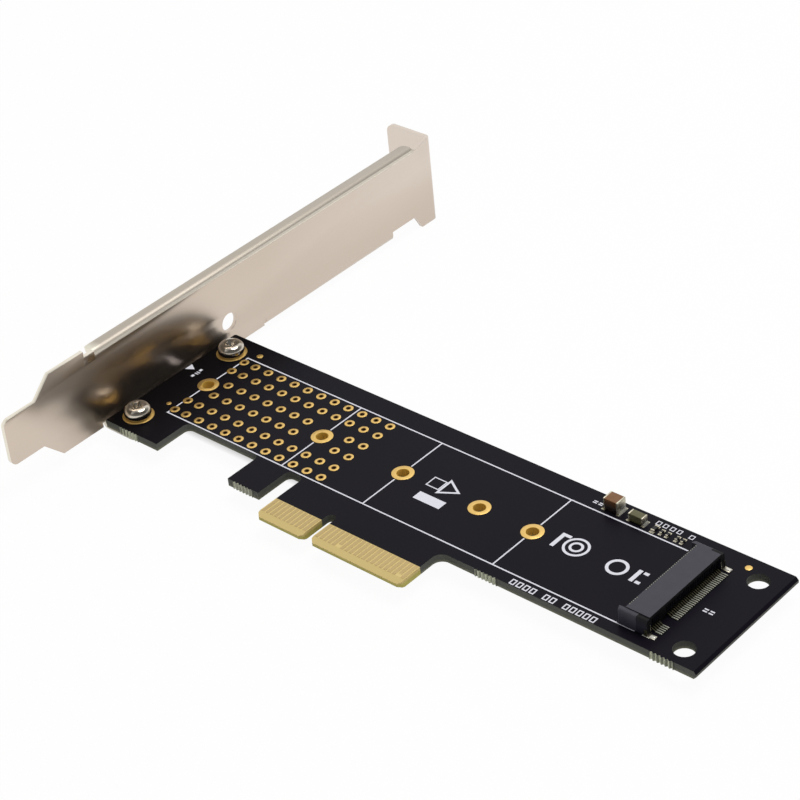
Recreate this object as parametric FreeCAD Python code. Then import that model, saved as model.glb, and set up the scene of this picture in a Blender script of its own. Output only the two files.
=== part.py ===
import FreeCAD, Part
import math
import os

V = FreeCAD.Vector

# Adapter card that carries one solid-state drive module in a long expansion slot.
# Millimetres. The origin is the centre of the standoff hole for the longest module, on the
# component face of the board. +X runs to the module socket, +Y away from the edge contacts,
# +Z out of the component face.

# Sides of the small round forms that repeat, few enough to keep the face count low
bite_sides = 6
via_hole_sides = 6
via_land_sides = 8
dot_sides = 12
ring_sides = 12

# Module that the card takes
module_lengths = (30.0, 42.0, 60.0, 80.0, 110.0)
longest_module = max(module_lengths)

# Circuit board
board_thickness = 1.6
board_left_x = -8.1
tail_reach = 11.1
board_far_y = 15.74
board_near_y = -13.54
board_corner_r = 0.5
tab_near_y = -19.5
left_tab_right_x = 5.75
recess_far_y = -11.2
recess_corner_r = 1.3
small_tab_left_x = 24.5
small_tab_right_x = 32.2
slot_end_y = -11.4
slot_corner_r = 1.2
score_depth = 0.55
score_run = 0.5

# Edge connector
tongue_left_x = 36.05
first_tongue_width = 11.15
key_width = 1.9
second_tongue_width = 21.15
tongue_tip_y = -24.08
key_depth = 7.65
tongue_corner = 0.7
tongue_root_r = 2.0
bevel_run = 1.3
bevel_depth = 0.45
contact_pitch = 1.0
contact_width = 0.7
first_tongue_contacts = 11
second_tongue_contacts = 21
contact_start_y = -18.8
contact_short_by = 0.8
short_contacts_component_side = (17, 31)
short_contacts_solder_side = (1,)

# Break-off tabs left from the panel
bite_count = 6
bite_pitch = 0.8
bite_r = 0.27
bite_proud = 0.2
left_tab_bite_x = -1.75
small_tab_bite_x = 28.35
front_bite_x = 80.6
tail_bite_inset = 6.3

# Plated holes and printed layers
copper_thickness = 0.04
plating_wall = 0.05
standoff_hole_r = 1.2
standoff_land_r = 2.17
via_hole_r = 0.42
via_land_r = 1.0
via_first_x = 0.5
via_pitch_x = 3.5
via_columns = 12
via_rows_y = (2.0, 6.0, 9.5)
via_columns_without_middle_row = (0, 8, 9)
tail_hole_r = 2.0
tail_hole_inset = 4.4
tail_hole_far_inset = 4.64
tail_hole_near_inset = 3.64
fiducial_large_r = 0.65
fiducial_small_r = 0.5
fiducial_left_x = 1.56
fiducial_left_y = 12.78
fiducial_right_inset = 7.71
fiducial_right_y = 13.08
fiducial_near_x = -1.89
fiducial_near_y = -8.76
print_thickness = 0.02
print_width = 0.28
print_gap = 0.15
print_line_y = 11.0
print_far_line_short_by = 1.5
print_near_line_overlap = 3.6
print_cross_lengths = (110.0, 80.0, 60.0, 30.0)

# Bracket sheet
sheet = 0.86
sheet_inner_r = 0.34
board_to_bracket = 0.8
bracket_far_y = 78.1
bracket_length = 120.0
foot_tip_width = 10.0
foot_tip_low_z = 2.2
foot_tip_corner_r = 1.5
foot_tip_end_y = -34.0
foot_taper_end_y = -29.9
foot_low_z = -1.9
foot_high_z = 16.15
foot_far_y = -21.2
plate_high_z = 14.95
plate_low_z = -3.0
upper_flange_near_y = -18.7
upper_flange_far_y = 72.3
flange_depth = 3.2
flange_angle = 100.0
flange_corner_r = 0.8
lower_flange_near_y = 25.2
lower_flange_far_y = 63.9
lower_flange_low_z = -3.25
relief_width = 0.7
relief_depth = 0.4
waist_low_z = -1.2
ear_low_z = -4.55
ear_slope_near_y = 71.2
ear_slope_run = 1.9
tab_depth = 11.7
tab_high_z = 15.1
tab_corner_r = 1.8
tab_slot_width = 4.42
tab_slot_centre = 6.3
tab_slot_reach = 4.6
tab_relief_depth = 0.95
tab_relief_run = 3.0
light_hole_r = 1.95
light_hole_y = 15.4
light_hole_z = 2.8

# Lugs and screws that hold the board to the bracket
screw_x = -4.05
screw_near_inset = 4.7
screw_far_inset = 5.14
screw_r = 1.45
screw_length = 4.0
screw_head_r = 2.8
screw_head_height = 2.25
screw_head_crown = 0.75
screw_recess_width = 0.7
screw_recess_length = 3.1
screw_recess_depth = 1.2
screw_hole_r = 1.6
screw_land_r = 3.1
lug_hole_r = 1.55
lug_width = 8.4
lug_reach = 3.2
lug_corner_r = 1.5

# Module socket
socket_arm_front = 3.4
socket_lip_front = 2.2
socket_rear = 2.7
socket_width = 21.9
socket_height = 3.4
socket_jaw_reach = 0.5
socket_end_wall = 0.95
socket_end_height = 3.2
socket_end_corner = 0.5
socket_end_bevel = 0.4
socket_slot_low_z = 1.35
socket_slot_height = 0.95
socket_slot_clearance = 0.2
socket_key_y = -6.125
socket_key_width = 1.05
socket_edge_bevel = 0.25
socket_bay_depth = 0.45
socket_bay_wall = 1.2
socket_bay_high_z = 2.75
peg_rear = 2.0
peg_inset = 1.55
peg_large_r = 0.8
peg_small_r = 0.55
peg_length = 1.2
peg_clearance = 0.05
pin_pitch = 0.5
pin_width = 0.2
pin_thickness = 0.15
rear_pin_inset = 1.7
front_pin_inset = 1.95
key_pin_reach = 0.8
key_pin_shift = 0.125
rear_pin_exit_z = 0.47
rear_pin_foot = 1.1
rear_pin_reach = 1.8
front_pin_reach = 1.4
hold_down_thickness = 0.15
hold_down_height = 1.3
hold_down_length = 0.5
hold_down_foot = 1.5
hold_down_foot_width = 1.0

# Chip parts beside the far print line
bulk_size = (3.2, 2.5, 2.5)
bulk_centre = (87.75, 13.3)
bypass_size = (3.2, 1.6, 1.6)
bypass_centre = (93.2, 12.75)
bulk_terminal = 0.4
bypass_terminal = 0.4
large_resistor_size = (0.8, 1.6, 0.45)
large_resistor_centre = (97.0, 12.5)
large_resistor_terminal = 0.3
small_resistor_size = (0.5, 1.0, 0.35)
small_resistor_y = 12.5
small_resistor_x = (98.5, 99.8, 101.75, 102.95)
small_resistor_terminal = 0.25
land_margin = 0.15
land_toe = 0.35

# Values worked out from the sizes above
socket_arm_front_x = longest_module - socket_arm_front
socket_lip_x = longest_module - socket_lip_front
socket_rear_x = longest_module + socket_rear
socket_bay_x = socket_rear_x - socket_bay_depth
board_tail_x = socket_rear_x + tail_reach
tail_bite_x = board_tail_x - tail_bite_inset
tail_hole_x = board_tail_x - tail_hole_inset
fiducial_right_x = board_tail_x - fiducial_right_inset
peg_x = socket_rear_x - peg_rear
peg_y = socket_width / 2 - peg_inset
board_underside_z = -board_thickness
copper_top_z = copper_thickness
copper_underside_z = board_underside_z - copper_thickness
first_tongue_right_x = tongue_left_x + first_tongue_width
second_tongue_left_x = first_tongue_right_x + key_width
second_tongue_right_x = second_tongue_left_x + second_tongue_width
sheet_outer_r = sheet_inner_r + sheet
plate_front_x = board_left_x - board_to_bracket
plate_rear_x = plate_front_x - sheet
bracket_near_y = bracket_far_y - bracket_length
near_screw_y = tab_near_y + screw_near_inset
far_screw_y = board_far_y - screw_far_inset
screw_places = ((screw_x, near_screw_y), (screw_x, far_screw_y))
tail_hole_far_y = board_far_y - tail_hole_far_inset
tail_hole_near_y = board_near_y + tail_hole_near_inset
tail_holes = ((tail_hole_x, tail_hole_far_y), (tail_hole_x, tail_hole_near_y))
standoff_x = {length: longest_module - length for length in module_lengths}
slot_floor_x = longest_module + socket_slot_clearance
touching = 1e-6


def box(x0, x1, y0, y1, z0, z1):
    return Part.makeBox(x1 - x0, y1 - y0, z1 - z0, V(x0, y0, z0))


def flat(x, y):
    return V(x, y, 0)


def on_plate(y, z):
    return V(plate_rear_x, y, z)


def rounded_wire(corners, place):
    points = [V(a, b, 0) for a, b, r in corners]
    turns = []
    for i, (a, b, r) in enumerate(corners):
        corner = points[i]
        back = (points[i - 1] - corner).normalize()
        onward = (points[(i + 1) % len(points)] - corner).normalize()
        half = back.getAngle(onward) / 2
        run = r / math.tan(half)
        middle = corner + (back + onward).normalize() * (r / math.sin(half) - r) if r else corner
        turns.append((corner + back * run, middle, corner + onward * run, r))
    edges = []
    for i, (enter, middle, leave, r) in enumerate(turns):
        if r:
            arc = [place(p.x, p.y) for p in (enter, middle, leave)]
            edges.append(Part.Arc(*arc).toShape())
        following = turns[(i + 1) % len(turns)][0]
        if leave.distanceToPoint(following) > touching:
            edges.append(Part.makeLine(place(leave.x, leave.y), place(following.x, following.y)))
    return Part.Wire(edges)


def polygon_wire(x, y, r, sides):
    turn = 2 * math.pi / sides
    points = [V(x + r * math.cos(i * turn), y + r * math.sin(i * turn), 0) for i in range(sides)]
    return Part.makePolygon(points + points[:1])


def circle_wire(x, y, r):
    return Part.Wire(Part.makeCircle(r, V(x, y, 0)))


def slab(wires, z0, z1):
    face = Part.makeFace(wires, "Part::FaceMakerBullseye")
    face.translate(V(0, 0, z0))
    return face.extrude(V(0, 0, z1 - z0))


def via_places():
    places = []
    for column in range(via_columns):
        x = via_first_x if column == 0 else column * via_pitch_x
        for row in via_rows_y:
            if row == via_rows_y[0] and column in via_columns_without_middle_row:
                continue
            places += [(x, row), (x, -row)]
    return places


def board_outline():
    tip_y = tongue_tip_y
    key_end_y = tongue_tip_y + key_depth
    key_r = key_width / 2
    return [
        (board_left_x, board_far_y, board_corner_r),
        (board_left_x, tab_near_y, 0),
        (left_tab_right_x, tab_near_y, 0),
        (left_tab_right_x, recess_far_y, recess_corner_r),
        (small_tab_left_x, recess_far_y, recess_corner_r),
        (small_tab_left_x, tab_near_y, 0),
        (small_tab_right_x, tab_near_y, 0),
        (small_tab_right_x, slot_end_y, slot_corner_r),
        (tongue_left_x, slot_end_y, slot_corner_r),
        (tongue_left_x, tip_y + tongue_corner, 0),
        (tongue_left_x + tongue_corner, tip_y, 0),
        (first_tongue_right_x - tongue_corner, tip_y, 0),
        (first_tongue_right_x, tip_y + tongue_corner, 0),
        (first_tongue_right_x, key_end_y, key_r),
        (second_tongue_left_x, key_end_y, key_r),
        (second_tongue_left_x, tip_y + tongue_corner, 0),
        (second_tongue_left_x + tongue_corner, tip_y, 0),
        (second_tongue_right_x - tongue_corner, tip_y, 0),
        (second_tongue_right_x, tip_y + tongue_corner, 0),
        (second_tongue_right_x, board_near_y, tongue_root_r),
        (board_tail_x + score_run, board_near_y, 0),
        (board_tail_x + score_run, board_far_y, 0),
    ]


def wedge(points, along):
    closed = points + points[:1]
    return Part.Face(Part.makePolygon(closed)).extrude(along)


def score_cuts():
    edge_x = board_tail_x + score_run
    along = V(0, board_far_y - board_near_y, 0)
    cuts = []
    for face_z, depth in ((0, -score_depth), (board_underside_z, score_depth)):
        points = [
            V(board_tail_x, board_near_y, face_z),
            V(edge_x, board_near_y, face_z),
            V(edge_x, board_near_y, face_z + depth),
        ]
        cuts.append(wedge(points, along))
    return cuts


def bevel_cuts():
    along = V(second_tongue_right_x - tongue_left_x, 0, 0)
    cuts = []
    for face_z, depth in ((0, -bevel_depth), (board_underside_z, bevel_depth)):
        points = [
            V(tongue_left_x, tongue_tip_y, face_z),
            V(tongue_left_x, tongue_tip_y + bevel_run, face_z),
            V(tongue_left_x, tongue_tip_y, face_z + depth),
        ]
        cuts.append(wedge(points, along))
    return cuts


def bite_rows():
    stubs = []
    bites = []
    row = (bite_count - 1) * bite_pitch
    rows = (
        (left_tab_bite_x, tab_near_y),
        (small_tab_bite_x, tab_near_y),
        (front_bite_x, board_near_y),
        (tail_bite_x, board_near_y),
    )
    for x, y in rows:
        x0 = x - row / 2
        out_y = y - bite_proud
        stubs.append(box(x0 - bite_pitch / 2, x0 + row + bite_pitch / 2, out_y, y, board_underside_z, 0))
        for i in range(bite_count):
            bite = polygon_wire(x0 + i * bite_pitch, out_y, bite_r, bite_sides)
            bites.append(slab([bite], board_underside_z, 0))
    return stubs, bites


def circuit_board():
    holes = [polygon_wire(x, y, via_hole_r, via_hole_sides) for x, y in via_places()]
    holes += [polygon_wire(x, 0, standoff_hole_r + plating_wall, ring_sides) for x in standoff_x.values()]
    holes += [polygon_wire(x, y, screw_hole_r + plating_wall, ring_sides) for x, y in screw_places]
    holes += [circle_wire(x, y, tail_hole_r) for x, y in tail_holes]
    holes += [polygon_wire(peg_x, y, r + peg_clearance, dot_sides) for y, r in pegs()]
    board = slab([rounded_wire(board_outline(), flat)] + holes, board_underside_z, 0)
    stubs, bites = bite_rows()
    return board.fuse(stubs).cut(score_cuts() + bevel_cuts() + bites).removeSplitter()


def edge_contacts(z0, z1, short_contacts):
    pads = []
    inner_y = contact_start_y
    tip_y = tongue_tip_y + bevel_run
    tongues = (
        (tongue_left_x, first_tongue_width, first_tongue_contacts, 1),
        (second_tongue_left_x, second_tongue_width, second_tongue_contacts, first_tongue_contacts + 1),
    )
    for left_x, width, count, first_number in tongues:
        margin = (width - (count - 1) * contact_pitch) / 2
        for i in range(count):
            x = left_x + margin + i * contact_pitch
            y = tip_y + contact_short_by if first_number + i in short_contacts else tip_y
            pads.append(box(x - contact_width / 2, x + contact_width / 2, y, inner_y, z0, z1))
    return Part.makeCompound(pads)


def plated_hole(x, y, bore, barrel_r, land_r):
    barrel = polygon_wire(x, y, barrel_r, ring_sides)
    land = polygon_wire(x, y, land_r, ring_sides)
    top_land = slab([land, bore], 0, copper_top_z)
    low_land = slab([land, bore], copper_underside_z, board_underside_z)
    return slab([barrel, bore], board_underside_z, 0).fuse([top_land, low_land]).removeSplitter()


def plated_holes():
    rings = []
    for x in standoff_x.values():
        bore = circle_wire(x, 0, standoff_hole_r)
        rings.append(plated_hole(x, 0, bore, standoff_hole_r + plating_wall, standoff_land_r))
    for x, y in screw_places:
        bore = polygon_wire(x, y, screw_hole_r, ring_sides)
        rings.append(plated_hole(x, y, bore, screw_hole_r + plating_wall, screw_land_r))
    return Part.makeCompound(rings)


def thermal_vias():
    bore = polygon_wire(0, 0, via_hole_r, via_hole_sides)
    land = polygon_wire(0, 0, via_land_r, via_land_sides)
    via = slab([land, bore], 0, copper_top_z)
    return Part.makeCompound([via.translated(V(x, y, 0)) for x, y in via_places()])


def fiducial_pads():
    pads = []
    places = (
        (fiducial_left_x, fiducial_left_y, fiducial_large_r),
        (fiducial_right_x, fiducial_right_y, fiducial_large_r),
        (fiducial_near_x, fiducial_near_y, fiducial_small_r),
    )
    for x, y, r in places:
        pads.append(slab([polygon_wire(x, y, r, dot_sides)], 0, copper_top_z))
    return Part.makeCompound(pads)


def silkscreen_outline():
    half = print_width / 2
    top = print_thickness
    far_end_x = socket_arm_front_x - print_far_line_short_by
    near_end_x = socket_arm_front_x + print_near_line_overlap
    far = box(-half, far_end_x, print_line_y - half, print_line_y + half, 0, top)
    near = box(-half, near_end_x, -print_line_y - half, -print_line_y + half, 0, top)
    lines = far.fuse(near)
    for length in print_cross_lengths:
        x = standoff_x[length]
        cross = box(x - half, x + half, -print_line_y, print_line_y, 0, top)
        lines = lines.fuse(cross)
    clear = [Part.makeCylinder(standoff_land_r + print_gap, top, V(x, 0, 0)) for x in standoff_x.values()]
    for x, y in via_places():
        if abs(x - standoff_x[longest_module]) < via_land_r + print_width:
            clear.append(slab([polygon_wire(x, y, via_land_r + print_gap, via_land_sides)], 0, top))
    under_socket = socket_width / 2 + print_thickness
    clear.append(box(socket_arm_front_x, socket_rear_x, -under_socket, under_socket, 0, top))
    return lines.cut(clear).removeSplitter()


def fold(origin, toward, outward, along, angle, leg, tip_r):
    turn = math.radians(angle)

    def at(u, w):
        return origin + toward * u + outward * w

    def rim(r, a):
        return at(sheet_outer_r - r * math.cos(a), r * math.sin(a))

    def leg_end(r):
        return rim(r, turn) + toward * (leg * math.sin(turn)) + outward * (leg * math.cos(turn))

    outer = Part.Arc(rim(sheet_outer_r, 0), rim(sheet_outer_r, turn / 2), rim(sheet_outer_r, turn))
    inner = Part.Arc(rim(sheet_inner_r, turn), rim(sheet_inner_r, turn / 2), rim(sheet_inner_r, 0))
    edges = [
        outer.toShape(),
        Part.makeLine(rim(sheet_outer_r, turn), leg_end(sheet_outer_r)),
        Part.makeLine(leg_end(sheet_outer_r), leg_end(sheet_inner_r)),
        Part.makeLine(leg_end(sheet_inner_r), rim(sheet_inner_r, turn)),
        inner.toShape(),
        Part.makeLine(rim(sheet_inner_r, 0), rim(sheet_outer_r, 0)),
    ]
    strip = Part.Face(Part.Wire(edges)).extrude(along)
    tip = [leg_end(sheet_outer_r), leg_end(sheet_inner_r)]
    far_tip = [point + along for point in tip]
    corners = [e for e in strip.Edges if joins(e, tip) or joins(e, far_tip)]
    return strip.makeFillet(tip_r, corners)


def joins(edge, points):
    ends = [vertex.Point for vertex in edge.Vertexes]
    return all(min(end.distanceToPoint(point) for end in ends) < touching for point in points)


def flange_leg():
    turn = math.radians(flange_angle)
    return (flange_depth - sheet_outer_r * (1 - math.cos(turn))) / math.sin(turn)


def lug_spans():
    return [(y - lug_width / 2, y + lug_width / 2) for x, y in screw_places]


def plate_outline():
    tip_high_z = foot_tip_low_z + foot_tip_width
    flange_top = plate_high_z - sheet_outer_r
    flange_low = lower_flange_low_z + sheet_outer_r
    lug_edge = copper_underside_z + sheet_inner_r
    near_lug, far_lug = lug_spans()
    tab_start_y = bracket_far_y - sheet_outer_r
    corners = [
        (bracket_near_y, foot_tip_low_z, foot_tip_corner_r),
        (bracket_near_y, tip_high_z, foot_tip_corner_r),
        (foot_tip_end_y, tip_high_z, 0),
        (foot_taper_end_y, foot_high_z, 0),
        (foot_far_y, foot_high_z, 0),
        (foot_far_y, flange_top - relief_depth, 0),
        (upper_flange_near_y, flange_top - relief_depth, 0),
        (upper_flange_near_y, flange_top, 0),
        (upper_flange_far_y, flange_top, 0),
        (upper_flange_far_y, tab_high_z - tab_relief_depth, 0),
        (tab_start_y - tab_relief_run, tab_high_z - tab_relief_depth, 0),
        (tab_start_y, tab_high_z, 0),
        (tab_start_y, ear_low_z, 0),
        (ear_slope_near_y + ear_slope_run, ear_low_z, 0),
        (ear_slope_near_y, waist_low_z, 0),
        (lower_flange_far_y, waist_low_z, 0),
        (lower_flange_far_y, flange_low, 0),
        (lower_flange_near_y, flange_low, 0),
        (lower_flange_near_y, flange_low + relief_depth, 0),
        (lower_flange_near_y - relief_width, flange_low + relief_depth, 0),
        (lower_flange_near_y - relief_width, plate_low_z, 0),
    ]
    corners += lug_relief(far_lug, lug_edge, plate_low_z, plate_low_z)
    corners += lug_relief(near_lug, lug_edge, plate_low_z, foot_low_z)
    corners.append((foot_taper_end_y, foot_low_z, 0))
    corners.append((foot_tip_end_y, foot_tip_low_z, 0))
    return corners


def lug_relief(span, lug_edge, far_z, near_z):
    near_y, far_y = span
    relief_z = lug_edge + relief_depth
    return [
        (far_y + relief_width, far_z, 0),
        (far_y + relief_width, relief_z, 0),
        (far_y, relief_z, 0),
        (far_y, lug_edge, 0),
        (near_y, lug_edge, 0),
        (near_y, relief_z, 0),
        (near_y - relief_width, relief_z, 0),
        (near_y - relief_width, near_z, 0),
    ]


def bracket_lugs():
    lugs = []
    bend_z = copper_underside_z + sheet_inner_r
    centre_x = plate_rear_x + sheet_outer_r
    leg = screw_x + lug_reach - centre_x
    for (near_y, far_y), (x, y) in zip(lug_spans(), screw_places):
        origin = V(plate_rear_x, near_y, bend_z)
        lug = fold(origin, V(1, 0, 0), V(0, 0, -1), V(0, far_y - near_y, 0), 90, leg, lug_corner_r)
        hole = polygon_wire(x, y, lug_hole_r, ring_sides)
        lugs.append(lug.cut(slab([hole], copper_underside_z - 2 * sheet, copper_underside_z + sheet)))
    return lugs


def bracket_tab():
    leg = tab_depth - sheet_outer_r
    height = tab_high_z - ear_low_z
    origin = V(plate_front_x, bracket_far_y - sheet_outer_r, ear_low_z)
    tab = fold(origin, V(-1, 0, 0), V(0, 1, 0), V(0, 0, height), 90, leg, tab_corner_r)
    slot_x = plate_front_x - tab_slot_centre
    slot_r = tab_slot_width / 2
    slot_end_z = ear_low_z + tab_slot_reach
    inner_y = bracket_far_y - 2 * sheet
    round_end = Part.makeCylinder(slot_r, 3 * sheet, V(slot_x, inner_y, slot_end_z), V(0, 1, 0))
    straight = box(slot_x - slot_r, slot_x + slot_r, inner_y, bracket_far_y + sheet, ear_low_z, slot_end_z)
    return tab.cut([round_end, straight])


def bracket():
    plate = Part.Face(rounded_wire(plate_outline(), on_plate)).extrude(V(sheet, 0, 0))
    light_hole = Part.makeCylinder(light_hole_r, sheet, on_plate(light_hole_y, light_hole_z), V(1, 0, 0))
    along = V(0, upper_flange_far_y - upper_flange_near_y, 0)
    origin = V(plate_front_x, upper_flange_near_y, plate_high_z - sheet_outer_r)
    upper = fold(origin, V(-1, 0, 0), V(0, 0, 1), along, flange_angle, flange_leg(), flange_corner_r)
    along = V(0, lower_flange_far_y - lower_flange_near_y, 0)
    origin = V(plate_front_x, lower_flange_near_y, lower_flange_low_z + sheet_outer_r)
    lower = fold(origin, V(-1, 0, 0), V(0, 0, -1), along, flange_angle, flange_leg(), flange_corner_r)
    sheet_metal = plate.cut(light_hole).fuse([upper, lower, bracket_tab()] + bracket_lugs())
    return sheet_metal.removeSplitter()


def bracket_screws():
    crown_z = copper_top_z + screw_head_height - screw_head_crown
    top_z = copper_top_z + screw_head_height
    screws = []
    for x, y in screw_places:
        profile = [
            V(0, 0, copper_top_z),
            V(screw_head_r, 0, copper_top_z),
            V(screw_head_r, 0, crown_z),
            V(screw_head_r - screw_head_crown, 0, top_z),
            V(0, 0, top_z),
        ]
        head = Part.Face(Part.makePolygon(profile + profile[:1])).revolve(V(0, 0, 0), V(0, 0, 1), 360)
        shank = slab([polygon_wire(0, 0, screw_r, ring_sides)], copper_top_z - screw_length, copper_top_z)
        screw = head.fuse(shank)
        half_w = screw_recess_width / 2
        half_l = screw_recess_length / 2
        floor_z = top_z - screw_recess_depth
        slot = box(-half_w, half_w, -half_l, half_l, floor_z, top_z)
        cross = box(-half_l, half_l, -half_w, half_w, floor_z, top_z)
        screws.append(screw.cut([slot, cross]).translated(V(x, y, 0)))
    return Part.makeCompound(screws)


def pegs():
    return ((peg_y, peg_large_r), (-peg_y, peg_small_r))


def socket_housing():
    half = socket_width / 2 - socket_end_wall
    jaw_x = socket_lip_x - socket_jaw_reach
    body = box(socket_lip_x, socket_rear_x, -half, half, 0, socket_height)
    jaw = box(jaw_x, socket_lip_x, -half, half, 0, socket_slot_low_z)
    ends = [end_wall(side) for side in (-1, 1)]
    studs = []
    for y, r in pegs():
        studs.append(slab([polygon_wire(peg_x, y, r, dot_sides)], -peg_length, 0))
    housing = body.fuse([jaw] + ends + studs).removeSplitter()
    slot_top = socket_slot_low_z + socket_slot_height
    slot = box(jaw_x, slot_floor_x, -half, half, socket_slot_low_z, slot_top)
    key_near_y = socket_key_y - socket_key_width / 2
    key_far_y = key_near_y + socket_key_width
    key = box(jaw_x, slot_floor_x, key_near_y, key_far_y, socket_slot_low_z, slot_top)
    lip = [
        V(socket_lip_x, -half, slot_top),
        V(socket_lip_x, -half, slot_top + socket_edge_bevel),
        V(socket_lip_x + socket_edge_bevel, -half, slot_top),
    ]
    rear_edge = [
        V(socket_rear_x, -half, socket_height),
        V(socket_rear_x, -half, socket_height - socket_edge_bevel),
        V(socket_rear_x - socket_edge_bevel, -half, socket_height),
    ]
    along = V(0, 2 * half, 0)
    bay_half = socket_width / 2 - socket_bay_wall
    bay = box(socket_bay_x, socket_rear_x, -bay_half, bay_half, 0, socket_bay_high_z)
    return housing.cut([slot.cut(key), wedge(lip, along), wedge(rear_edge, along), bay])


def end_wall(side):
    outer_y = side * socket_width / 2
    inner_y = outer_y - side * socket_end_wall
    front_x = socket_arm_front_x
    corners = [
        (socket_rear_x, inner_y, 0),
        (front_x, inner_y, 0),
        (front_x, outer_y - side * socket_end_corner, 0),
        (front_x + socket_end_corner, outer_y, 0),
        (socket_rear_x, outer_y, 0),
    ]
    edge = [
        V(front_x, outer_y, socket_end_height),
        V(front_x, outer_y - side * socket_end_bevel, socket_end_height),
        V(front_x, outer_y, socket_end_height - socket_end_bevel),
    ]
    wall = slab([rounded_wire(corners, flat)], 0, socket_end_height)
    return wall.cut(wedge(edge, V(socket_rear_x - front_x, 0, 0)))


def pin_rows(inset, key_y):
    first_y = socket_width / 2 - inset
    count = math.floor(2 * first_y / pin_pitch + touching) + 1
    rows = [first_y - i * pin_pitch for i in range(count)]
    return [y for y in rows if abs(y - key_y) > key_pin_reach]


def pins(profile, rows):
    pin = Part.Face(Part.makePolygon(profile + profile[:1])).extrude(V(0, pin_width, 0))
    return Part.makeCompound([pin.translated(V(0, y - pin_width / 2, 0)) for y in rows])


def socket_contacts_rear():
    end_x = socket_rear_x + rear_pin_reach
    foot_x = end_x - rear_pin_foot
    profile = [
        V(socket_bay_x, 0, rear_pin_exit_z),
        V(foot_x, 0, 0),
        V(end_x, 0, 0),
        V(end_x, 0, pin_thickness),
        V(foot_x + pin_thickness, 0, pin_thickness),
        V(socket_bay_x, 0, rear_pin_exit_z + pin_thickness),
    ]
    return pins(profile, pin_rows(rear_pin_inset, socket_key_y + key_pin_shift))


def socket_contacts_front():
    jaw_x = socket_lip_x - socket_jaw_reach
    end_x = jaw_x - front_pin_reach
    profile = [
        V(end_x, 0, 0),
        V(jaw_x, 0, 0),
        V(jaw_x, 0, pin_thickness),
        V(end_x, 0, pin_thickness),
    ]
    return pins(profile, pin_rows(front_pin_inset, socket_key_y - key_pin_shift))


def socket_hold_downs():
    hold_downs = []
    upright_x = socket_rear_x - hold_down_length
    for side in (-1, 1):
        wall_y = side * socket_width / 2
        outer_y = wall_y + side * hold_down_thickness
        inner_y = outer_y - side * hold_down_foot_width
        low_y, high_y = sorted((wall_y, outer_y))
        upright = box(upright_x, socket_rear_x, low_y, high_y, 0, hold_down_height)
        low_y, high_y = sorted((inner_y, outer_y))
        foot_x = socket_rear_x + hold_down_foot
        foot = box(socket_rear_x, foot_x, low_y, high_y, 0, hold_down_thickness)
        hold_downs.append(upright.fuse(foot).removeSplitter())
    return Part.makeCompound(hold_downs)


def chip(centre, size, terminal, along_x):
    x, y = centre
    length_x, length_y, height = size
    half_x = length_x / 2
    half_y = length_y / 2
    low = copper_top_z
    high = copper_top_z + height
    if along_x:
        body = box(x - half_x + terminal, x + half_x - terminal, y - half_y, y + half_y, low, high)
        ends = [
            box(x - half_x, x - half_x + terminal, y - half_y, y + half_y, low, high),
            box(x + half_x - terminal, x + half_x, y - half_y, y + half_y, low, high),
        ]
    else:
        body = box(x - half_x, x + half_x, y - half_y + terminal, y + half_y - terminal, low, high)
        ends = [
            box(x - half_x, x + half_x, y - half_y, y - half_y + terminal, low, high),
            box(x - half_x, x + half_x, y + half_y - terminal, y + half_y, low, high),
        ]
    return body, ends


def chip_lands(centre, size, terminal, along_x):
    x, y = centre
    half_x = size[0] / 2
    half_y = size[1] / 2
    lands = []
    for side in (-1, 1):
        if along_x:
            half_land = half_y + land_margin
            x0, x1 = sorted((x + side * (half_x - terminal), x + side * (half_x + land_toe)))
            lands.append(box(x0, x1, y - half_land, y + half_land, 0, copper_top_z))
        else:
            half_land = half_x + land_margin / 2
            y0, y1 = sorted((y + side * (half_y - terminal), y + side * (half_y + land_toe)))
            lands.append(box(x - half_land, x + half_land, y0, y1, 0, copper_top_z))
    return lands


def chip_parts():
    small_centres = [(x, small_resistor_y) for x in small_resistor_x]
    bulk = (bulk_centre, bulk_size, bulk_terminal, True)
    bypass = (bypass_centre, bypass_size, bypass_terminal, True)
    large = (large_resistor_centre, large_resistor_size, large_resistor_terminal, False)
    small = [(centre, small_resistor_size, small_resistor_terminal, False) for centre in small_centres]
    groups = (
        ("bulk_capacitor_body", "bulk_capacitor_terminals", [bulk]),
        ("bypass_capacitor_body", "bypass_capacitor_terminals", [bypass]),
        ("large_resistor_body", "large_resistor_terminals", [large]),
        ("small_resistor_bodies", "small_resistor_terminals", small),
    )
    nodes = {}
    lands = []
    for body_name, terminal_name, members in groups:
        bodies = []
        terminals = []
        for member in members:
            body, ends = chip(*member)
            bodies.append(body)
            terminals += ends
            lands += chip_lands(*member)
        nodes[body_name] = Part.makeCompound(bodies)
        nodes[terminal_name] = Part.makeCompound(terminals)
    nodes["component_lands"] = Part.makeCompound(lands)
    return nodes


def write(name, shape):
    shape.exportStep("parts/" + name + ".step")


os.makedirs("parts", exist_ok=True)
write("circuit_board", circuit_board())
component_side_contacts = edge_contacts(0, copper_top_z, short_contacts_component_side)
solder_side_contacts = edge_contacts(copper_underside_z, board_underside_z, short_contacts_solder_side)
write("edge_contacts_component_side", component_side_contacts)
write("edge_contacts_solder_side", solder_side_contacts)
write("plated_holes", plated_holes())
write("thermal_vias", thermal_vias())
write("fiducial_pads", fiducial_pads())
write("silkscreen_outline", silkscreen_outline())
write("bracket", bracket())
write("bracket_screws", bracket_screws())
write("socket_housing", socket_housing())
write("socket_contacts_rear", socket_contacts_rear())
write("socket_contacts_front", socket_contacts_front())
write("socket_hold_downs", socket_hold_downs())
for node_name, node_shape in chip_parts().items():
    write(node_name, node_shape)
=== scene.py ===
import math

import bmesh
import bpy
from mathutils import Matrix, Vector


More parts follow.
